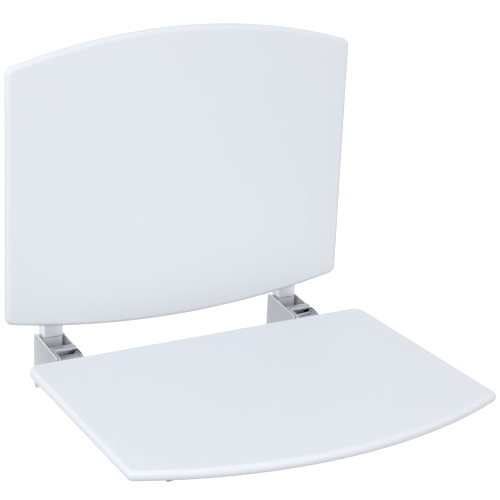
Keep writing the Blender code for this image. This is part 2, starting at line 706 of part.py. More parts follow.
def seat_arm(side, hinge, x, look):
    """The arm under the seat: a tube with a wider, solid hinge end. A round bar crosses that end, and a hollow
    lies in front of the bar."""
    name = "seat_arm_" + side
    body = prism(
        name, knuckle_outline(), KNUCKLE_WIDTH, look, hinge, (x, 0, 0), ACROSS,
        near_edge=KNUCKLE_EDGE_RADIUS, far_edge=KNUCKLE_EDGE_RADIUS, steps=SMALL_EDGE_STEPS,
    )
    hollow_width = KNUCKLE_WIDTH - 2 * EAR_RIM
    pocket = prism(
        name + "_pocket", pocket_outline(), hollow_width + 2 * BEYOND, None, hinge, (x, 0, 0), ACROSS
    )
    trough_height = 2 * (POCKET_ROOF - POCKET_FLOOR)
    trough = prism(
        name + "_trough", box_outline(hollow_width, trough_height, POCKET_FILLET), 2 * EAR_REACH + 4 * BEYOND,
        None, hinge, (x, 0, POCKET_FLOOR + trough_height / 2), UPRIGHT,
    )
    boolean(pocket, trough, "INTERSECT")
    cut(body, pocket)
    middle_z = (ARM_TOP_Z + ARM_BOTTOM_Z) / 2 - PIVOT_Z
    tube_length = ARM_LENGTH - EAR_REACH
    tube = prism(
        name + "_tube", box_outline(ARM_WIDTH, ARM_HEIGHT, ARM_EDGE_RADIUS), tube_length, None, hinge,
        (x, -EAR_REACH - tube_length / 2, middle_z), UPRIGHT,
    )
    join(body, tube)
    bore_length = ARM_LENGTH - ARM_SOLID_LENGTH
    bore = prism(
        body.name + "_bore", box_outline(ARM_WIDTH - 2 * ARM_WALL, ARM_HEIGHT - 2 * ARM_WALL),
        bore_length + BEYOND, None, hinge,
        (x, -ARM_SOLID_LENGTH - (bore_length + BEYOND) / 2, middle_z), UPRIGHT,
    )
    cut(body, bore)
    half = KNUCKLE_WIDTH / 2
    flange = BUSH_FLANGE_DIAMETER / 2 + FIT
    sleeve = PIN_DIAMETER / 2 + FIT + BUSH_WALL + FIT
    through = PIN_DIAMETER / 2 + FIT
    flange_seat = half - BUSH_FLANGE_THICKNESS - FIT
    sleeve_seat = flange_seat - BUSH_LENGTH - FIT
    drill(
        body, body.name + "_pin_hole",
        [
            (flange, -half - BEYOND, -flange_seat),
            (sleeve, -flange_seat, -sleeve_seat),
            (through, -sleeve_seat, sleeve_seat),
            (sleeve, sleeve_seat, flange_seat),
            (flange, flange_seat, half + BEYOND),
        ],
        hinge, (x, 0, 0), POINTING_LEFT,
    )
    access = SCREW_ACCESS_DIAMETER / 2
    hole = SCREW_DIAMETER / 2 + FIT
    low = ARM_BOTTOM_Z - PIVOT_Z
    high = ARM_TOP_Z - PIVOT_Z
    for end, reach in SEAT_SCREW_REACHES.items():
        steps = [(access, low - BEYOND, (low + high) / 2), (hole, (low + high) / 2, high + BEYOND)]
        drill(body, body.name + "_" + end + "_hole", steps, hinge, (x, -reach, 0), POINTING_UP)


def arm_end_cap(side, hinge, x, look):
    """The cap that closes the front of the arm."""
    middle_z = (ARM_TOP_Z + ARM_BOTTOM_Z) / 2 - PIVOT_Z
    front = -ARM_LENGTH - FIT
    body = prism(
        "arm_end_cap_" + side, box_outline(ARM_WIDTH, ARM_HEIGHT, ARM_EDGE_RADIUS), END_CAP_FLANGE, look, hinge,
        (x, front - END_CAP_FLANGE / 2, middle_z), UPRIGHT,
        far_edge=ARM_EDGE_RADIUS / 2, steps=SMALL_EDGE_STEPS,
    )
    plug_length = END_CAP_PLUG + END_CAP_FLANGE / 2
    clear = 2 * (ARM_WALL + FIT)
    plug = prism(
        body.name + "_plug", box_outline(ARM_WIDTH - clear, ARM_HEIGHT - clear, ARM_EDGE_RADIUS), plug_length,
        None, hinge, (x, front - END_CAP_FLANGE / 2 + plug_length / 2, middle_z), UPRIGHT,
    )
    join(body, plug)


def hinge_pin(side, mount, look):
    """The pin from cheek to cheek through the arm. Its head lies flush in the right-hand cheek."""
    head_face = BRACKET_WIDTH / 2
    start = head_face - PIN_HEAD_HEIGHT
    screw(
        "hinge_pin_" + side, PIN_DIAMETER, start + BRACKET_GAP / 2 + PIN_TIP_DEPTH, PIN_HEAD_DIAMETER,
        PIN_HEAD_HEIGHT, look, mount, (start, PIVOT_Y, PIVOT_Z), POINTING_LEFT,
    )


def hinge_bush(side, end, turn, hinge, x, look):
    """A flanged bush pressed into one side of the arm. The pin turns in it."""
    bore = PIN_DIAMETER / 2 + FIT
    sleeve = bore + BUSH_WALL
    flange = BUSH_FLANGE_DIAMETER / 2
    length = BUSH_FLANGE_THICKNESS + BUSH_LENGTH
    profile = [
        (bore, 0), (flange, 0), (flange, BUSH_FLANGE_THICKNESS), (sleeve, BUSH_FLANGE_THICKNESS),
        (sleeve, length), (bore, length), (bore, 0),
    ]
    outward = KNUCKLE_WIDTH / 2 if turn == POINTING_LEFT else -KNUCKLE_WIDTH / 2
    turned("hinge_bush_" + side + end, profile, look, hinge, (x + outward, 0, 0), turn)


def stop_buffer(side, mount, look):
    """The pad that the arm's heel rests on with the seat down, held by its stem in the stop wall."""
    middle_z = BUFFER_TOP_Z - BUFFER_HEIGHT / 2
    rear = STOP_WALL_FRONT_Y - FIT
    body = prism(
        "stop_buffer_" + side, box_outline(BUFFER_WIDTH, BUFFER_HEIGHT, BUFFER_EDGE_RADIUS), BUFFER_THICKNESS,
        look, mount, (0, rear - BUFFER_THICKNESS / 2, middle_z), UPRIGHT,
        far_edge=BUFFER_EDGE_RADIUS / 2, steps=SMALL_EDGE_STEPS,
    )
    radius = BUFFER_STEM_DIAMETER / 2
    steps = [(radius, -STOP_WALL_REAR_Y, -rear + BUFFER_THICKNESS / 2)]
    stem = turned(body.name + "_stem", hole_profile(steps), None, mount, (0, 0, middle_z), POINTING_FRONT)
    join(body, stem)


def main():
    clear_scene()
    board_look = material("white_board", (0.80, 0.83, 0.88), 0.0, 0.42)
    chrome = material("polished_chrome", (0.60, 0.61, 0.64), 1.0, 0.08)
    steel = material("stainless_steel", (0.48, 0.47, 0.45), 1.0, 0.32)
    brass = material("brass", (0.60, 0.42, 0.17), 1.0, 0.35)
    dark_plastic = material("dark_grey_plastic", (0.06, 0.06, 0.065), 0.0, 0.45)
    nylon = material("nylon", (0.72, 0.72, 0.68), 0.0, 0.5)
    rubber = material("rubber", (0.025, 0.025, 0.027), 0.0, 0.7)

    backrest_board(board_look)
    hinge = empty("seat_hinge", HINGE)
    seat_board(hinge, board_look)
    for side, x in SIDES.items():
        mount = empty("bracket_place_" + side, (x, 0, 0))
        wall_bracket(side, mount, chrome)
        wall_plate(side, mount, steel)
        grub_screw(side, mount, steel)
        backrest_post(side, mount, chrome)
        post_plug(side, mount, steel)
        post_bolt(side, mount, steel)
        post_cap(side, mount, dark_plastic)
        stop_buffer(side, mount, rubber)
        hinge_pin(side, mount, steel)
        for end, z in BACK_SCREW_HEIGHTS.items():
            names = ("_".join(("backrest_screw", side, end)), "_".join(("backrest_insert", side, end)))
            board_fixing(names, (0, BACK_REAR_Y, z), POINTING_FRONT, POST_WALL, mount, steel, brass)
        seat_arm(side, hinge, x, chrome)
        arm_end_cap(side, hinge, x, dark_plastic)
        hinge_bush(side, "_left", POINTING_RIGHT, hinge, x, nylon)
        hinge_bush(side, "_right", POINTING_LEFT, hinge, x, nylon)
        for end, reach in SEAT_SCREW_REACHES.items():
            names = ("_".join(("seat_screw", side, end)), "_".join(("seat_insert", side, end)))
            place = (x, -reach, -BOARD_THICKNESS - PIVOT_Z)
            board_fixing(names, place, POINTING_UP, ARM_WALL, hinge, steel, brass)
    bpy.context.view_layer.update()


main()
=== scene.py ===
"""Fold-up shower seat: a bowed seat board and a fixed backrest on two polished wall brackets.

The frame holds every solid piece where the CAD puts it, and this script dresses it. Both boards, the
screws, the inserts and the bushes are modelled again in finer detail. The other metal, plastic and rubber
pieces get smooth skins. All have their real finishes, except the paler plating inside the brackets and on
their rims, which is painted light and a painted highlight. A plain bright stage is set round them. Metres,
with +Y into the wall and +Z up."""

import json
import math

import bmesh
import bpy
from bpy.props import FloatProperty, FloatVectorProperty, PointerProperty
from mathutils import Matrix, Vector


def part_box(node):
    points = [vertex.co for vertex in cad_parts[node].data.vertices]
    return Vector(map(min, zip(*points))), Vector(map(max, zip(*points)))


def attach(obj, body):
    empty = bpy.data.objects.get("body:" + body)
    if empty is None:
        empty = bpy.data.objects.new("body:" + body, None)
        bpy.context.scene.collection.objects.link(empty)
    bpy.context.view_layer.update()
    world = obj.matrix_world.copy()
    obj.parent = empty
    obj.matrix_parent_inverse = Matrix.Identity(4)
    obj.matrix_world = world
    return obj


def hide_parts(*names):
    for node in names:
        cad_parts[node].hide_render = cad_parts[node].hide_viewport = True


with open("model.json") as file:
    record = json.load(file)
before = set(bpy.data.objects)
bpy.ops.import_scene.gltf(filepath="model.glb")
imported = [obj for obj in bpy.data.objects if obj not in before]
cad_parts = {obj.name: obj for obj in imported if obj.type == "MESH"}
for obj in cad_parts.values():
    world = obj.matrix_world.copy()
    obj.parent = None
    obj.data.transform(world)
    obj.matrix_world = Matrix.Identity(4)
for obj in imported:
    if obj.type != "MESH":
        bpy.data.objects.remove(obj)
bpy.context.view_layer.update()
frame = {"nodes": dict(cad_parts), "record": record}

bl_info = {
    "name": "Fold-up shower seat",
    "version": (1, 0, 0),
    "blender": (4, 5, 0),
    "location": "3D View > Sidebar > Shower seat",
    "description": "Dresses the packed shower seat and sets its stage",
    "category": "Object",
}

SIDES = ("left", "right")
SEAT_BODY = "seat"
WALL_BODY = "wall_side"

# The ways that screws, inserts and bushes point
UP = (0, 0, 1)
FORWARD = (0, -1, 0)
LEFTWARD = (-1, 0, 0)
RIGHTWARD = (1, 0, 0)

# Camera, fitted to the outlines of both boards
CAMERA_AZIMUTH = math.radians(30.51)
CAMERA_ELEVATION = math.radians(20.33)
CAMERA_ROLL = math.radians(2.80)
CAMERA_TARGET = Vector((0.02564, -0.150, 0.12484))
CAMERA_DISTANCE = 1.91487
CAMERA_LENS_MM = 120.1
CAMERA_SENSOR_MM = 36.0
CAMERA_REACH = 50

# Facets of the boards' bowed ends, corners, rims and holes, and of round pieces
BOW_STEPS = 96
CORNER_STEPS = 14
RIM_STEPS = 10
HOLE_FACETS = 64
ROUND_FACETS = 48

# Within this distance, a face counts as part of what it is compared with
NEAR = 0.0001

# A face faces along an axis when this much of its normal does, roughly or exactly
FACING = 0.9
FLAT = 0.9999

# Edges sharper than these stay sharp, in what is modelled here and in the skins of CAD pieces
CREASE = math.radians(35)
SKIN_CREASE = math.radians(30)

# CAD faces within this angle of each other are made one, and so are corners within this distance
SAME_PLANE = math.radians(0.5)
SAME_POINT = 1e-6

# Even surroundings: the light that falls on the object, and what the camera and mirrors see
WORLD_TINT = (0.95, 0.975, 1.0, 1)
WORLD_LIGHT = 0.745
WORLD_SEEN = 1.0
WHITE = (1, 1, 1, 1)
FLOOR_SEEN = 0.85
FLOOR_WIDTH = 8

# Each lamp's name, place, target, width across and watts
LAMPS = (
    ("key_lamp", (-1.6, -1.2, 1.4), (0, -0.15, 0.1), 1.4, 16),
    ("fill_lamp", (0.6, -2.6, 0.4), (0, -0.15, 0.15), 2.0, 13),
    ("side_lamp", (-2.0, 0.2, 0.2), (-0.2, -0.1, 0.1), 1.0, 5),
)


def linear(hex_colour):
    """The linear values of an sRGB colour written as #RRGGBB."""
    values = [int(hex_colour[place:place + 2], 16) / 255 for place in (1, 3, 5)]
    return tuple(v / 12.92 if v <= 0.04045 else ((v + 0.055) / 1.055) ** 2.4 for v in values)


def colour_property(name, text, hex_colour):
    return FloatVectorProperty(
        name=name, description=text, subtype="COLOR", size=3, min=0, max=1, default=linear(hex_colour)
    )


def length_property(name, text, metres):
    return FloatProperty(
        name=name, description=text, subtype="DISTANCE", unit="LENGTH", min=0, default=metres
    )


class ShowerSeatSizes(bpy.types.PropertyGroup):
    seat_rear_width: length_property("Seat width at the wall", "Width of the seat's straight end", 0.450)
    seat_front_width: length_property("Seat width in front", "Width where the bowed front starts", 0.4606)
    seat_bow: length_property("Seat bow", "How far the middle of the front stands out", 0.049)
    seat_rear_corner: length_property("Seat rear corners", "Corner radius at the wall end", 0.014)
    seat_front_corner: length_property("Seat front corners", "Corner radius at the front", 0.008)
    back_lower_width: length_property("Backrest width below", "Width at the lower corners", 0.4496)
    back_upper_width: length_property("Backrest width above", "Width at the upper corners", 0.4464)
    back_lower_bow: length_property("Backrest lower bow", "How far the lower edge bows down", 0.023)
    back_upper_bow: length_property("Backrest upper bow", "How far the upper edge bows up", 0.0334)
    back_corner: length_property("Backrest corners", "Corner radius of the backrest", 0.010)
    board_rim: length_property("Board rims", "Radius of both boards' edges", 0.0055)
    rim_border: length_property("Rim border", "Flat ring inside a board's rounded rim", 0.0003)
    insert_hole: length_property("Insert hole", "Radius of the holes for the threaded inserts", 0.0042)
    insert_hole_depth: length_property("Insert hole depth", "Depth of those holes", 0.0093)
    cheek_thickness: length_property("Bracket cheeks", "Thickness of the brackets' two sides", 0.0022)
    foot_chamfer: length_property("Post foot", "Chamfer round the posts' lower ends", 0.0008)
    screw_radius: length_property("Screws", "Outer radius of the board screws' threads", 0.0025)
    bolt_radius: length_property("Bolts and pins", "Outer radius of the post bolts and hinge pins", 0.003)
    screw_head: length_property("Screw heads", "Height of the board screws' heads", 0.0028)
    bolt_head: length_property("Bolt heads", "Height of the post bolts' heads", 0.004)
    pin_head: length_property("Pin heads", "Height of the hinge pins' heads", 0.0012)
    screw_edge: length_property("Screw edges", "Chamfer of the screws' edges", 0.0004)
    socket_share: FloatProperty(
        name="Hexagon socket", description="Its radius and depth, as a share of the head's", default=0.52
    )
    thread_pitch: length_property("Thread pitch", "Distance between two ridges of a thread", 0.0008)
    thread_depth: length_property("Thread depth", "How deep the threads are cut", 0.0004)
    screw_bore: length_property("Insert bore", "Radius of the inserts' bore", 0.0028)
    knurl_depth: length_property("Knurling", "How deep the inserts' knurling is", 0.00018)
    groove_share: FloatProperty(
        name="Insert groove", description="Its width, as a share of the insert's length", default=0.2
    )
    bush_flange: length_property("Bush flange", "Thickness of the hinge bushes' flange", 0.001)
    bush_sleeve: length_property("Bush sleeve", "Outer radius of the hinge bushes' sleeve", 0.0041)
    pin_bore: length_property("Bush bore", "Radius of the hinge bushes' bore", 0.0033)
    floor_drop: length_property("Seat height", "Height of the seat's top above the floor", 0.48)


class ShowerSeatColours(bpy.types.PropertyGroup):
    board: colour_property("Board", "White of both boards", "#E9ECF0")
    chrome: colour_property("Chrome", "Tint of the polished plating on the brackets' outsides", "#ABACB3")
    arm_chrome: colour_property("Arm chrome", "Tint of the polished plating on the arms", "#BEC0C7")
    # The posts' own tint, also used as painted light on the brackets' shaded inner faces, block and rims
    satin_chrome_and_painted_light: colour_property(
        "Satin chrome", "Tint of the dulled plating on the posts and inside the brackets", "#F1F3F6"
    )
    steel: colour_property("Stainless steel", "Tint of screws, pins and plates", "#B9B7B2")
    brass: colour_property("Brass", "Tint of the threaded inserts", "#C9A968")
    plastic: colour_property("Dark plastic", "Colour of the end caps", "#4A4B4E")
    nylon: colour_property("Nylon", "Colour of the hinge bushes", "#DCDCD6")
    rubber: colour_property("Rubber", "Colour of the stop buffers", "#2B2B2D")
    floor: colour_property("Floor", "Colour of the floor", "#A0A0A0")


def sizes():
    return bpy.context.scene.shower_seat_sizes


def colours():
    return bpy.context.scene.shower_seat_colours


def add_node(tree, kind, inputs=None, **settings):
    """Adds a node, with its settings and with a value or a link for each input that is named."""
    made = tree.nodes.new(kind)
    for name, value in settings.items():
        setattr(made, name, value)
    for name, value in (inputs or {}).items():
        if isinstance(value, bpy.types.NodeSocket):
            tree.links.new(value, made.inputs[name])
        else:
            made.inputs[name].default_value = value
    return made


def new_material(name):
    """(material, its node tree, its shader, the object's own coordinates)."""
    made = bpy.data.materials.new(name)
    made.use_nodes = True
    tree = made.node_tree
    place = add_node(tree, "ShaderNodeTexCoord").outputs["Object"]
    return made, tree, tree.nodes["Principled BSDF"], place


def spread(tree, value, low, high):
    """A 0 to 1 pattern carried to a range."""
    mapped = add_node(tree, "ShaderNodeMapRange", {"Value": value, "To Min": low, "To Max": high})
    return mapped.outputs["Result"]


def tinted(tree, factor, colour, share):
    """The colour, a little darker by share where the pattern is 0."""
    mixed = add_node(tree, "ShaderNodeMix", {"Factor": factor}, data_type="RGBA")
    mixed.inputs[6].default_value = (*[part * (1 - share) for part in colour], 1)
    mixed.inputs[7].default_value = (*colour, 1)
    return mixed.outputs[2]


def marks(tree, place, width, detail):
    """An uneven 0 to 1 pattern. Its marks are about as wide as the width, in the units of the place."""
    noise = add_node(tree, "ShaderNodeTexNoise", {"Vector": place, "Scale": 1 / width, "Detail": detail})
    return noise.outputs["Fac"]


def relief(tree, shader, pattern, height, strength):
    """Raises the surface by a pattern, with its full height in metres."""
    bump = add_node(tree, "ShaderNodeBump", {"Strength": strength, "Distance": height, "Height": pattern})
    tree.links.new(bump.outputs["Normal"], shader.inputs["Normal"])


def moulded_resin():
    """Mineral-filled moulded resin: an even cool white, with a satin sheen and a barely uneven skin."""
    made, tree, shader, place = new_material("moulded_resin_white")
    cloud = marks(tree, place, 0.045, 3)
    tree.links.new(tinted(tree, cloud, colours().board, 0.012), shader.inputs["Base Color"])
    # The mould's fine grain is about 0.4 mm, drawn at 1.6 mm so that it shows at all
    grain = marks(tree, place, 0.0016, 2)
    tree.links.new(spread(tree, grain, 0.36, 0.46), shader.inputs["Roughness"])
    relief(tree, shader, grain, 0.00008, 0.08)
    shader.inputs["IOR"].default_value = 1.5
    return made


def plated(name, colour, metallic, sharp, dull):
    """Chrome plating over cast and drawn metal: cool and bright, with faint waves and a thin haze. Dulled
    plating scatters part of the light, so it is less metallic. Its roughness runs from sharp to dull."""
    made, tree, shader, place = new_material(name)
    shader.inputs["Metallic"].default_value = metallic
    # The haze lies in patches of about 6 mm
    haze = marks(tree, place, 0.006, 4)
    tree.links.new(tinted(tree, haze, colour, 0.04), shader.inputs["Base Color"])
    tree.links.new(spread(tree, haze, sharp, dull), shader.inputs["Roughness"])
    # The casting's waves run over about 9 mm and are a few hundredths of a millimetre high
    relief(tree, shader, marks(tree, place, 0.009, 1), 0.0002, 0.12)
    return made


def brushed_steel():
    """Stainless steel, turned or brushed: fine lines in one direction, half dull."""
    made, tree, shader, place = new_material("stainless_steel_brushed")
    shader.inputs["Metallic"].default_value = 1
    # Brushing lines of about 0.15 mm, drawn 0.3 mm apart, 12 times as long along X
    across = 0.0003
    stretch = (1 / (12 * across), 1 / across, 1 / across)
    lines = add_node(tree, "ShaderNodeMapping", {"Vector": place, "Scale": stretch})
    brush = marks(tree, lines.outputs["Vector"], 1, 2)
    tree.links.new(tinted(tree, brush, colours().steel, 0.18), shader.inputs["Base Color"])
    tree.links.new(spread(tree, brush, 0.24, 0.40), shader.inputs["Roughness"])
    relief(tree, shader, brush, 0.00005, 0.2)
    return made


def turned_brass():
    """Brass from the bar: warm yellow metal with a dull, slightly stained skin."""
    made, tree, shader, place = new_material("turned_brass")
    shader.inputs["Metallic"].default_value = 1
    # The stains are about 2 mm across
    stain = marks(tree, place, 0.002, 3)
    tree.links.new(tinted(tree, stain, colours().brass, 0.25), shader.inputs["Base Color"])
    tree.links.new(spread(tree, stain, 0.25, 0.45), shader.inputs["Roughness"])
    return made


def moulded(name, colour, ior, rough, grain_width, grain_height, share):
    """A moulded polymer: one colour with a fine spark-eroded grain, darker by share in its hollows."""
    made, tree, shader, place = new_material(name)
    grain = marks(tree, place, grain_width, 3)
    tree.links.new(tinted(tree, grain, colour, share), shader.inputs["Base Color"])
    tree.links.new(spread(tree, grain, rough - 0.06, rough + 0.06), shader.inputs["Roughness"])
    relief(tree, shader, grain, grain_height, 0.3)
    shader.inputs["IOR"].default_value = ior
    return made


def end_cap_polyamide():
    """Glass-filled polyamide, moulded: dark grey and dull, with a grain that takes the shine off."""
    return moulded("glass_filled_polyamide", colours().plastic, 1.53, 0.48, 0.0006, 0.00003, 0.2)


def bush_nylon():
    """Natural nylon, moulded: off-white and waxy."""
    return moulded("natural_nylon", colours().nylon, 1.53, 0.42, 0.0008, 0.00002, 0.05)


def buffer_rubber():
    """Moulded rubber: near black, dull, with a dusty bloom."""
    return moulded("moulded_rubber", colours().rubber, 1.52, 0.72, 0.0009, 0.00005, 0.35)


def deselect():
    bpy.ops.object.select_all(action="DESELECT")


def take(piece):
    deselect()
    piece.select_set(True)
    bpy.context.view_layer.objects.active = piece


def place_in_mesh(piece):
    take(piece)
    bpy.ops.object.transform_apply(location=True, rotation=True, scale=True)


def smooth(piece, crease=CREASE):
    take(piece)
    bpy.ops.object.shade_smooth_by_angle(angle=crease)


def select_in_mesh(piece, kind, wanted):
    """Opens the piece in edit mode with only those of its faces or edges selected that wanted() keeps."""
    take(piece)
    bpy.ops.object.mode_set(mode="EDIT")
    bpy.ops.mesh.select_mode(type=kind)
    bpy.ops.mesh.select_all(action="DESELECT")
    mesh = bmesh.from_edit_mesh(piece.data)
    for part in mesh.faces if kind == "FACE" else mesh.edges:
        part.select_set(wanted(part))
    mesh.select_flush_mode()
    bmesh.update_edit_mesh(piece.data)


def leave_mesh():
    bpy.ops.object.mode_set(mode="OBJECT")


def remove(piece):
    spent = piece.data
    bpy.data.objects.remove(piece)
    bpy.data.meshes.remove(spent)


def cut(piece, cutter):
    """Cuts a closed solid out of a piece and removes the solid."""
    step = piece.modifiers.new("cut", "BOOLEAN")
    step.operation = "DIFFERENCE"
    step.object = cutter
    step.solver = "EXACT"
    take(piece)
    bpy.ops.object.modifier_apply(modifier=step.name)
    remove(cutter)


def bow(half_drawn, v, half_chord, height):
    """Points from one side to the other on the arc over a chord. height is signed along v."""
    if height == 0:
        return []
    rise = abs(height)
    radius = (half_chord ** 2 + rise ** 2) / (2 * rise)
    places = [half_drawn * (2 * step / BOW_STEPS - 1) for step in range(BOW_STEPS + 1)]
    side = math.copysign(1, height)
    return [(u, v + side * (math.sqrt(radius ** 2 - u ** 2) - (radius - rise)), 0) for u in places]


def rounded(corners):
    """The outline of a polygon whose corners (u, v, radius) are rounded, in the order given."""
    points = []
    for index, (u, v, radius) in enumerate(corners):
        corner = Vector((u, v))
        if radius == 0:
            points.append(corner)
            continue
        before = (Vector(corners[index - 1][:2]) - corner).normalized()
        after = (Vector(corners[(index + 1) % len(corners)][:2]) - corner).normalized()
        half = before.angle(after) / 2
        centre = corner + (before + after).normalized() * (radius / math.sin(half))
        start = corner + before * (radius / math.tan(half)) - centre
        sweep = start.angle_signed(corner + after * (radius / math.tan(half)) - centre)
        for step in range(CORNER_STEPS + 1):
            points.append(centre + Matrix.Rotation(-sweep * step / CORNER_STEPS, 2) @ start)
    return points


def board_outline(near, far):
    """Seen square on: two straight sides and two ends that bow outwards, each (width, v, bow, corner)."""
    near_width, near_v, near_bow, near_corner = near
    far_width, far_v, far_bow, far_corner = far
    corners = [(-near_width / 2, near_v, near_corner)]
    corners += bow(near_width / 2 - near_corner, near_v, near_width / 2, -near_bow)
    corners += [(near_width / 2, near_v, near_corner), (far_width / 2, far_v, far_corner)]
    corners += reversed(bow(far_width / 2 - far_corner, far_v, far_width / 2, far_bow))
    corners += [(-far_width / 2, far_v, far_corner)]
    return rounded(corners)


def bowed_board(name, near, far, thickness, rim):
    """A board lying flat about z = 0: its outline raised to its thickness, with both rims rounded."""
    outline = board_outline(near, far)
    deselect()
    bpy.ops.mesh.primitive_circle_add(vertices=len(outline), radius=1, fill_type="NGON")
    board = bpy.context.active_object
    board.name = name
    ring = sorted(board.data.vertices, key=lambda vert: math.atan2(vert.co.y, vert.co.x) % math.tau)
    for vert, point in zip(ring, outline):
        vert.co = (point.x, point.y, -thickness / 2)
    select_in_mesh(board, "FACE", lambda face: True)
    bpy.ops.mesh.extrude_region_move(TRANSFORM_OT_translate={"value": (0, 0, thickness)})
    bpy.ops.mesh.select_all(action="SELECT")
    bpy.ops.mesh.normals_make_consistent(inside=False)
    leave_mesh()
    select_in_mesh(board, "EDGE", on_flat_rim)
    bpy.ops.mesh.bevel(offset=rim, segments=RIM_STEPS, affect="EDGES", clamp_overlap=False)
    leave_mesh()
    # A narrow ring inside each flat face keeps the flat's shading flat up to the rounding
    select_in_mesh(board, "FACE", lambda face: abs(face.normal.z) > FLAT)
    bpy.ops.mesh.inset(thickness=sizes().rim_border)
    leave_mesh()
    return board


def on_flat_rim(edge):
    """Whether an edge lies between a flat face of the board and its side."""
    flat = [face for face in edge.link_faces if abs(face.normal.z) > FACING]
    return len(flat) == 1 and len(edge.link_faces) == 2


def turn_to(direction):
    """The rotation that points +Z along a direction."""
    return Vector(UP).rotation_difference(Vector(direction)).to_euler()


def drill_board(board, points, direction):
    """Cuts the blind holes for the inserts. points are the middles of their mouths."""
    size = sizes()
    for point in points:
        deselect()
        bpy.ops.mesh.primitive_cylinder_add(
            vertices=HOLE_FACETS, radius=size.insert_hole, depth=2 * size.insert_hole_depth,
            location=point, rotation=turn_to(direction),
        )
        cut(board, bpy.context.active_object)


def insert_mouths(nodes, axis, face):
    """The middles of the insert holes, from the inserts' own boxes."""
    mouths = []
    for node in nodes:
        low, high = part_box(node)
        middle = (low + high) / 2
        middle[axis] = face
        mouths.append(middle)
    return mouths


def dress(piece, material, body, nodes):
    """Gives a finished piece its finish and its body, and lets it stand for its CAD nodes."""
    piece.data.materials.clear()
    piece.data.materials.append(material)
    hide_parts(*nodes)
    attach(piece, body)


def skin(node):
    """A copy of a CAD node with its loose triangles joined, its flats made whole and its rounds smooth."""
    source = frame["nodes"][node]
    piece = bpy.data.objects.new(node + "_skin", source.data.copy())
    bpy.context.scene.collection.objects.link(piece)
    take(piece)
    bpy.ops.object.mode_set(mode="EDIT")
    bpy.ops.mesh.select_all(action="SELECT")
    bpy.ops.mesh.customdata_custom_splitnormals_clear()
    bpy.ops.mesh.remove_doubles(threshold=SAME_POINT)
    bpy.ops.mesh.dissolve_limited(angle_limit=SAME_PLANE)
    bpy.ops.mesh.normals_make_consistent(inside=False)
    leave_mesh()
    smooth(piece, SKIN_CREASE)
    return piece


def turned(name, profile):
    """A round piece about +Z. profile holds its (radius, height) steps from one flat end to the other."""
    radius, height = profile[0]
    deselect()
    bpy.ops.mesh.primitive_circle_add(
        vertices=ROUND_FACETS, radius=radius, fill_type="NGON", location=(0, 0, height)
    )
    piece = bpy.context.active_object
    piece.name = name
    place_in_mesh(piece)
    select_in_mesh(piece, "FACE", lambda face: True)
    for next_radius, next_height in profile[1:]:
        bpy.ops.mesh.extrude_region_move(TRANSFORM_OT_translate={"value": (0, 0, next_height - height)})
        share = next_radius / radius
        if share != 1:
            bpy.ops.transform.resize(value=(share, share, 1), center_override=(0, 0, next_height))
        radius, height = next_radius, next_height
    bpy.ops.mesh.select_all(action="SELECT")
    bpy.ops.mesh.normals_make_consistent(inside=False)
    leave_mesh()
    return piece


def bore(piece, radius, low, high, sides=ROUND_FACETS):
    """Cuts a round or many-sided hole about +Z between two heights."""
    deselect()
    middle = (0, 0, (low + high) / 2)
    bpy.ops.mesh.primitive_cylinder_add(vertices=sides, radius=radius, depth=high - low, location=middle)
    cut(piece, bpy.context.active_object)


def long_and_wide(node, direction):
    """(length, radius) of a CAD node along a direction and across it."""
    low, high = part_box(node)
    spans = [abs(span) for span in high - low]
    along = max(range(3), key=lambda axis: abs(direction[axis]))
    return spans.pop(along), max(spans) / 2


def body_of(node):
    bodies = frame["record"]["behaviour"]["bodies"]
    return next(body for body, members in bodies.items() if node in members)


def set_copies(pattern, direction, nodes, material):
    """Copies a piece that points along +Z to the middle of each CAD node, pointing along a direction."""
    for node in nodes:
        low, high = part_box(node)
        piece = bpy.data.objects.new(node + "_fine", pattern.data.copy())
        bpy.context.scene.collection.objects.link(piece)
        piece.rotation_euler = turn_to(direction)
        piece.location = (low + high) / 2
        place_in_mesh(piece)
        dress(piece, material, body_of(node), [node])
    remove(pattern)


def socket_screw(name, length, head_radius, head_height, shank_radius, threaded):
    """A round-headed screw with a hexagon socket, its middle at the origin and its head low."""
    size = sizes()
    ease = size.screw_edge
    start = -length / 2
    neck = start + head_height
    under = ease / 2
    profile = [(head_radius - ease, start), (head_radius, start + ease), (head_radius, neck - under)]
    profile += [(head_radius - under, neck), (shank_radius, neck)]
    if threaded:
        pitch = size.thread_pitch
        height = neck + pitch
        while height + pitch < length / 2 - ease:
            profile += [(shank_radius, height), (shank_radius - size.thread_depth, height + pitch / 2)]
            height += pitch
        profile += [(shank_radius, height)]
    profile += [(shank_radius, length / 2 - ease), (shank_radius - ease, length / 2)]
    screw = turned(name, profile)
    key = head_radius * size.socket_share
    bore(screw, key, start - head_height, start + head_height * size.socket_share, sides=6)
    smooth(screw)
    return screw


def knurled_insert(name, length, radius):
    """A threaded insert: two knurled bands with a groove between them, and a bore."""
    size = sizes()
    ease = size.screw_edge
    inner = radius - size.knurl_depth
    half = length / 2
    groove = length * size.groove_share / 2
    steps = [(inner - ease, -half), (inner, ease - half), (inner, -groove), (inner - ease, ease - groove)]
    profile = steps + [(across, -height) for across, height in reversed(steps)]
    insert = turned(name, profile)
    tooth = math.tau / ROUND_FACETS

    def on_tooth(face):
        middle = face.calc_center_median()
        upright = face.normal.to_2d().length > FLAT
        return upright and math.floor(math.atan2(middle.y, middle.x) / tooth) % 2 == 0

    select_in_mesh(insert, "FACE", on_tooth)
    # The teeth end a little short of the insert's radius
    height = size.knurl_depth * 0.9
    bpy.ops.mesh.extrude_faces_move(TRANSFORM_OT_shrink_fatten={"value": height})
    leave_mesh()
    bore(insert, size.screw_bore, -length, length)
    smooth(insert)
    return insert


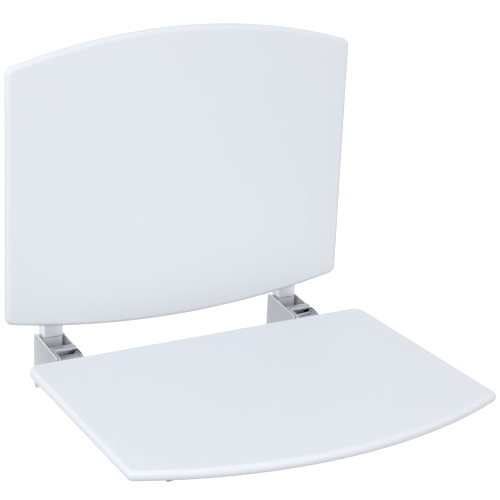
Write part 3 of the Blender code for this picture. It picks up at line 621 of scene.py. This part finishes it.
def flanged_bush(name, length, radius):
    """A plain bearing bush with its flange low."""
    size = sizes()
    ease = size.screw_edge / 2
    start = -length / 2
    flange = start + size.bush_flange
    bush = turned(name, [
        (radius - ease, start), (radius, start + ease), (radius, flange - ease), (radius - ease, flange),
        (size.bush_sleeve, flange), (size.bush_sleeve, -start - ease), (size.bush_sleeve - ease, -start),
    ])
    bore(bush, size.pin_bore, -length, length)
    smooth(bush)
    return bush


def nodes_named(kinds):
    """The CAD nodes whose names start with the kind, or with one of the kinds."""
    return sorted(node for node in frame["nodes"] if node.startswith(kinds))


def skin_all(kinds, material):
    for node in nodes_named(kinds):
        dress(skin(node), material, body_of(node), [node])


class ShowerSeatOperator:
    bl_options = {"REGISTER", "UNDO"}


class MakeBackrest(ShowerSeatOperator, bpy.types.Operator):
    """Models the backrest board with its bowed edges, its rounded rim and its insert holes"""
    bl_idname = "shower_seat.make_backrest"
    bl_label = "Backrest board"

    def execute(self, context):
        low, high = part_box("backrest_board")
        size = sizes()
        thickness = high.y - low.y
        board = bowed_board(
            "backrest_white_board",
            (size.back_lower_width, low.z + size.back_lower_bow, size.back_lower_bow, size.back_corner),
            (size.back_upper_width, high.z - size.back_upper_bow, size.back_upper_bow, size.back_corner),
            thickness, size.board_rim,
        )
        board.rotation_euler = (math.pi / 2, 0, 0)
        board.location = (0, (low.y + high.y) / 2, 0)
        place_in_mesh(board)
        drill_board(board, insert_mouths(nodes_named("backrest_insert"), 1, high.y), FORWARD)
        smooth(board)
        dress(board, moulded_resin(), WALL_BODY, ["backrest_board"])
        return {"FINISHED"}


class MakeSeatBoard(ShowerSeatOperator, bpy.types.Operator):
    """Models the seat board with its bowed front, its rounded rim and its insert holes"""
    bl_idname = "shower_seat.make_seat_board"
    bl_label = "Seat board"

    def execute(self, context):
        low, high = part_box("seat_board")
        size = sizes()
        board = bowed_board(
            "seat_white_board",
            (size.seat_front_width, low.y + size.seat_bow, size.seat_bow, size.seat_front_corner),
            (size.seat_rear_width, high.y, 0, size.seat_rear_corner),
            high.z - low.z, size.board_rim,
        )
        board.location = (0, 0, (low.z + high.z) / 2)
        place_in_mesh(board)
        drill_board(board, insert_mouths(nodes_named("seat_insert"), 2, low.z), UP)
        smooth(board)
        dress(board, bpy.data.materials["moulded_resin_white"], SEAT_BODY, ["seat_board"])
        return {"FINISHED"}


class FinishChrome(ShowerSeatOperator, bpy.types.Operator):
    """Skins the two wall brackets, the two posts and the two arms in chrome plating, bright or dulled,
    with painted light in the brackets
    """
    bl_idname = "shower_seat.finish_chrome"
    bl_label = "Brackets, posts and arms"

    def execute(self, context):
        bright = plated("polished_chrome", colours().chrome, 1, 0.05, 0.10)
        # On the posts the palest plating is their own finish; inside the brackets both paler platings are
        # painted light, and on the rims a painted highlight
        inside_painted_light = plated("inside_chrome_painted_light", colours().satin_chrome_and_painted_light, 0.8, 0.28, 0.38)
        satin_and_painted_light = plated("satin_chrome_and_painted_light", colours().satin_chrome_and_painted_light, 0.4, 0.42, 0.52)
        skin_all("backrest_post", satin_and_painted_light)
        skin_all("wall_bracket", bright)
        skin_all("seat_arm", plated("arm_chrome", colours().arm_chrome, 1, 0.05, 0.10))
        for side in SIDES:
            paint_bracket_light(bpy.data.objects["wall_bracket_" + side + "_skin"], inside_painted_light, satin_and_painted_light)
            chamfer_foot(bpy.data.objects["backrest_post_" + side + "_skin"], bright)
        return {"FINISHED"}


def paint_bracket_light(bracket, inside_painted_light, satin_and_painted_light):
    """The cheeks stay polished outside. Their inner faces get a paler, less metallic plating, and their
    rims and the block between them get the palest. This is painted light where the bracket lies in shade,
    and a painted highlight along the rims.
    """
    across = [vert.co.x for vert in bracket.data.vertices]
    low = min(across) + sizes().cheek_thickness
    high = max(across) - sizes().cheek_thickness
    bracket.data.materials.append(inside_painted_light)
    bracket.data.materials.append(satin_and_painted_light)
    for face in bracket.data.polygons:
        inside = low - NEAR < face.center.x < high + NEAR
        between = low + NEAR < face.center.x < high - NEAR
        on_rim = not inside and abs(face.normal.x) < FACING
        # Painted highlight on the rims, and painted light on the block between the cheeks
        if between or on_rim:
            face.material_index = 2
        # Painted light on the cheeks' shaded inner faces
        elif inside:
            face.material_index = 1


def chamfer_foot(post, bright):
    """Chamfers a post's foot and polishes the chamfer, so that its joint with the block shows dark."""
    post.data.materials.append(bright)
    corners = [vert.co.copy() for vert in post.data.vertices]
    foot = min(corner.z for corner in corners)
    middle = sum(corners, Vector()) / len(corners)

    def on_outer_edge(edge):
        if any(abs(vert.co.z - foot) > NEAR for vert in edge.verts):
            return False
        return any((face.calc_center_median() - middle).to_2d().dot(face.normal.to_2d()) > NEAR
                   for face in edge.link_faces)

    select_in_mesh(post, "EDGE", on_outer_edge)
    bpy.ops.mesh.bevel(
        offset=sizes().foot_chamfer, segments=1, affect="EDGES", clamp_overlap=False, material=1
    )
    leave_mesh()


class MakeScrews(ShowerSeatOperator, bpy.types.Operator):
    """Models each kind of screw and the hinge pin once, and copies them to their places"""
    bl_idname = "shower_seat.make_screws"
    bl_label = "Screws, bolts and pins"

    def execute(self, context):
        size = sizes()
        steel = brushed_steel()
        kinds = {
            "seat_screw": (UP, size.screw_head, size.screw_radius, True),
            "backrest_screw": (FORWARD, size.screw_head, size.screw_radius, True),
            "post_bolt": (UP, size.bolt_head, size.bolt_radius, True),
            "hinge_pin": (LEFTWARD, size.pin_head, size.bolt_radius, False),
        }
        for kind, (direction, head_height, shank, threaded) in kinds.items():
            nodes = nodes_named(kind)
            length, head = long_and_wide(nodes[0], direction)
            screw = socket_screw(kind + "_pattern", length, head, head_height, shank, threaded)
            set_copies(screw, direction, nodes, steel)
        return {"FINISHED"}


class MakeInserts(ShowerSeatOperator, bpy.types.Operator):
    """Models the knurled insert once for each board and copies it to its places"""
    bl_idname = "shower_seat.make_inserts"
    bl_label = "Inserts"

    def execute(self, context):
        brass = turned_brass()
        for kind, direction in (("seat_insert", UP), ("backrest_insert", FORWARD)):
            nodes = nodes_named(kind)
            length, radius = long_and_wide(nodes[0], direction)
            set_copies(knurled_insert(kind + "_pattern", length, radius), direction, nodes, brass)
        return {"FINISHED"}


class MakeBushes(ShowerSeatOperator, bpy.types.Operator):
    """Models the hinge bush once and copies it to both sides of both arms"""
    bl_idname = "shower_seat.make_bushes"
    bl_label = "Hinge bushes"

    def execute(self, context):
        nylon = bush_nylon()
        nodes = nodes_named("hinge_bush")
        length, radius = long_and_wide(nodes[0], LEFTWARD)
        for end, direction in (("_left", RIGHTWARD), ("_right", LEFTWARD)):
            facing = [node for node in nodes if node.endswith(end)]
            set_copies(flanged_bush("bush_pattern", length, radius), direction, facing, nylon)
        return {"FINISHED"}


class FinishPlates(ShowerSeatOperator, bpy.types.Operator):
    """Skins the wall plates, the grub screws and the posts' threaded plugs in stainless steel"""
    bl_idname = "shower_seat.finish_plates"
    bl_label = "Wall plates and plugs"

    def execute(self, context):
        kinds = ("wall_plate", "bracket_grub_screw", "post_plug")
        skin_all(kinds, bpy.data.materials["stainless_steel_brushed"])
        return {"FINISHED"}


class FinishPlastics(ShowerSeatOperator, bpy.types.Operator):
    """Skins the caps and the stop buffers"""
    bl_idname = "shower_seat.finish_plastics"
    bl_label = "Caps and buffers"

    def execute(self, context):
        skin_all(("post_cap", "arm_end_cap"), end_cap_polyamide())
        skin_all("stop_buffer", buffer_rubber())
        return {"FINISHED"}


class SetStage(ShowerSeatOperator, bpy.types.Operator):
    """Sets the floor, the lamps, the bright surroundings and the camera"""
    bl_idname = "shower_seat.set_stage"
    bl_label = "Stage"

    def execute(self, context):
        set_floor()
        set_world()
        for lamp in LAMPS:
            set_lamp(*lamp)
        set_camera()
        context.scene.view_settings.view_transform = "Standard"
        return {"FINISHED"}


def set_floor():
    """A plain grey floor below the seat at its usual height, seen as white but for the object's shadow."""
    deselect()
    bpy.ops.mesh.primitive_plane_add(size=FLOOR_WIDTH, location=(0, 0, -sizes().floor_drop))
    floor = bpy.context.active_object
    floor.name = "studio_floor"
    made, tree, shader, place = new_material("matt_floor_paint")
    shader.inputs["Roughness"].default_value = 1
    shader.inputs["Specular IOR Level"].default_value = 0
    # The paint is uneven over about 0.3 m
    cloud = marks(tree, place, 0.3, 2)
    tree.links.new(tinted(tree, cloud, colours().floor, 0.01), shader.inputs["Base Color"])
    # The camera and mirrors see it as bright as the surroundings, less what the object's shadow takes
    shader.inputs["Emission Color"].default_value = WHITE
    tree.links.new(seen_directly(tree, FLOOR_SEEN), shader.inputs["Emission Strength"])
    # From below the floor isn't there, so that the seat's underside can be seen
    side = add_node(tree, "ShaderNodeNewGeometry")
    clear = add_node(tree, "ShaderNodeBsdfTransparent")
    either = add_node(tree, "ShaderNodeMixShader", {"Fac": side.outputs["Backfacing"]})
    tree.links.new(shader.outputs[0], either.inputs[1])
    tree.links.new(clear.outputs[0], either.inputs[2])
    tree.links.new(either.outputs[0], tree.nodes["Material Output"].inputs["Surface"])
    floor.data.materials.append(made)
    place_in_mesh(floor)


def seen_directly(tree, strength):
    """The strength for rays from the camera, straight or by way of a mirror or glass, and 0 for others."""
    path = add_node(tree, "ShaderNodeLightPath")
    mirrored = add_node(tree, "ShaderNodeMath", operation="MAXIMUM")
    tree.links.new(path.outputs["Is Glossy Ray"], mirrored.inputs[0])
    tree.links.new(path.outputs["Is Transmission Ray"], mirrored.inputs[1])
    seen = add_node(tree, "ShaderNodeMath", operation="MAXIMUM")
    tree.links.new(path.outputs["Is Camera Ray"], seen.inputs[0])
    tree.links.new(mirrored.outputs[0], seen.inputs[1])
    scaled = add_node(tree, "ShaderNodeMath", operation="MULTIPLY")
    tree.links.new(seen.outputs[0], scaled.inputs[0])
    scaled.inputs[1].default_value = strength
    return scaled.outputs[0]


def set_world():
    """Even surroundings: a soft light on the object, and white where they are seen or mirrored."""
    world = bpy.data.worlds.new("bright_studio")
    world.use_nodes = True
    bpy.context.scene.world = world
    tree = world.node_tree
    light = tree.nodes["Background"]
    light.inputs["Color"].default_value = WORLD_TINT
    light.inputs["Strength"].default_value = WORLD_LIGHT
    white = add_node(tree, "ShaderNodeBackground", {"Color": WHITE, "Strength": WORLD_SEEN})
    mixed = add_node(tree, "ShaderNodeMixShader", {"Fac": seen_directly(tree, 1)})
    tree.links.new(light.outputs[0], mixed.inputs[1])
    tree.links.new(white.outputs[0], mixed.inputs[2])
    tree.links.new(mixed.outputs[0], tree.nodes["World Output"].inputs["Surface"])


def set_lamp(name, place, target, width, watts):
    """A round soft lamp that faces its target."""
    lamp = bpy.data.lights.new(name, "AREA")
    lamp.shape = "DISK"
    lamp.size = width
    lamp.energy = watts
    holder = bpy.data.objects.new(name, lamp)
    bpy.context.scene.collection.objects.link(holder)
    holder.location = place
    holder.rotation_euler = (Vector(target) - Vector(place)).to_track_quat("-Z", "Y").to_euler()


def set_camera():
    """The photograph's own view, with its slight roll."""
    camera = bpy.data.cameras.new("photo_camera")
    camera.sensor_width = CAMERA_SENSOR_MM
    camera.lens = CAMERA_LENS_MM
    camera.clip_end = CAMERA_REACH
    holder = bpy.data.objects.new("photo_camera", camera)
    bpy.context.scene.collection.objects.link(holder)
    flat = math.cos(CAMERA_ELEVATION)
    back = Vector((
        -math.sin(CAMERA_AZIMUTH) * flat, -math.cos(CAMERA_AZIMUTH) * flat, math.sin(CAMERA_ELEVATION)
    ))
    right = Vector((math.cos(CAMERA_AZIMUTH), -math.sin(CAMERA_AZIMUTH), 0))
    up = back.cross(right)
    rolled_right = right * math.cos(CAMERA_ROLL) + up * math.sin(CAMERA_ROLL)
    rolled_up = up * math.cos(CAMERA_ROLL) - right * math.sin(CAMERA_ROLL)
    turn = Matrix((rolled_right, rolled_up, back)).transposed()
    holder.matrix_world = Matrix.Translation(CAMERA_TARGET + back * CAMERA_DISTANCE) @ turn.to_4x4()
    bpy.context.scene.camera = holder


class ShowerSeatPanel(bpy.types.Panel):
    """Lists the sizes, the colours and the steps of the shower seat"""
    bl_idname = "SHOWERSEAT_PT_panel"
    bl_label = "Shower seat"
    bl_space_type = "VIEW_3D"
    bl_region_type = "UI"
    bl_category = "Shower seat"

    def draw(self, context):
        column = self.layout.column()
        for group in (context.scene.shower_seat_sizes, context.scene.shower_seat_colours):
            for name in group.__annotations__:
                column.prop(group, name)
        for step in STEPS:
            column.operator(step.bl_idname)


STEPS = (
    MakeBackrest, MakeSeatBoard, FinishChrome, MakeScrews, MakeInserts, MakeBushes, FinishPlates,
    FinishPlastics, SetStage,
)
CLASSES = (ShowerSeatSizes, ShowerSeatColours, *STEPS, ShowerSeatPanel)


def register():
    for made in CLASSES:
        bpy.utils.register_class(made)
    bpy.types.Scene.shower_seat_sizes = PointerProperty(type=ShowerSeatSizes)
    bpy.types.Scene.shower_seat_colours = PointerProperty(type=ShowerSeatColours)


def unregister():
    del bpy.types.Scene.shower_seat_colours
    del bpy.types.Scene.shower_seat_sizes
    for made in reversed(CLASSES):
        bpy.utils.unregister_class(made)


def main():
    register()
    for step in STEPS:
        group, name = step.bl_idname.split(".")
        getattr(getattr(bpy.ops, group), name)()


if __name__ == "__main__":
    main()
